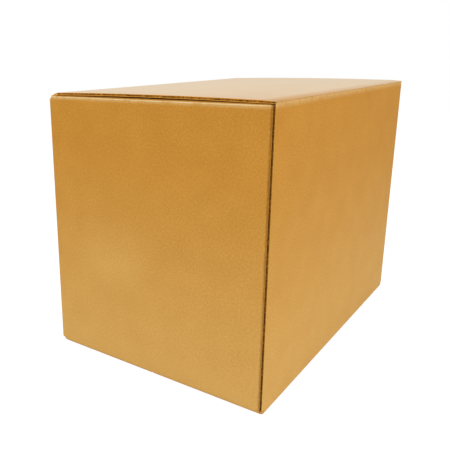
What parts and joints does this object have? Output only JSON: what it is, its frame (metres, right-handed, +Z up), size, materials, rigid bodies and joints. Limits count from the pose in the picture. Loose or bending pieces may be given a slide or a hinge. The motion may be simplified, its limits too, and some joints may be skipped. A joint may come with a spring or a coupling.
{
  "type": "cardboard carton",
  "caption": "Upright shipping carton folded from plain brown corrugated board, with a hinged top panel that tucks into the left wall.",
  "frame": {"origin": "middle of the base, on the surface the carton stands on", "axes": "+Z up, -Y is the front wall, +X is the wall that the lid hangs on, Y runs along the carton's length"},
  "size_m": [0.4, 0.6, 0.45],
  "materials": {
    "kraft_board": "matt brown kraft paper on corrugated board"
  },
  "bodies": {
    "carton": {"carton_body": "kraft_board"},
    "lid": {"lid": "kraft_board"}
  },
  "joints": [
    {"name": "lid_hinge", "type": "hinge", "parent": "carton", "child": "lid", "pos_m": [0.2, 0, 0.446], "axis": [0, 1, 0], "range_deg": [0, 250]}
  ]
}
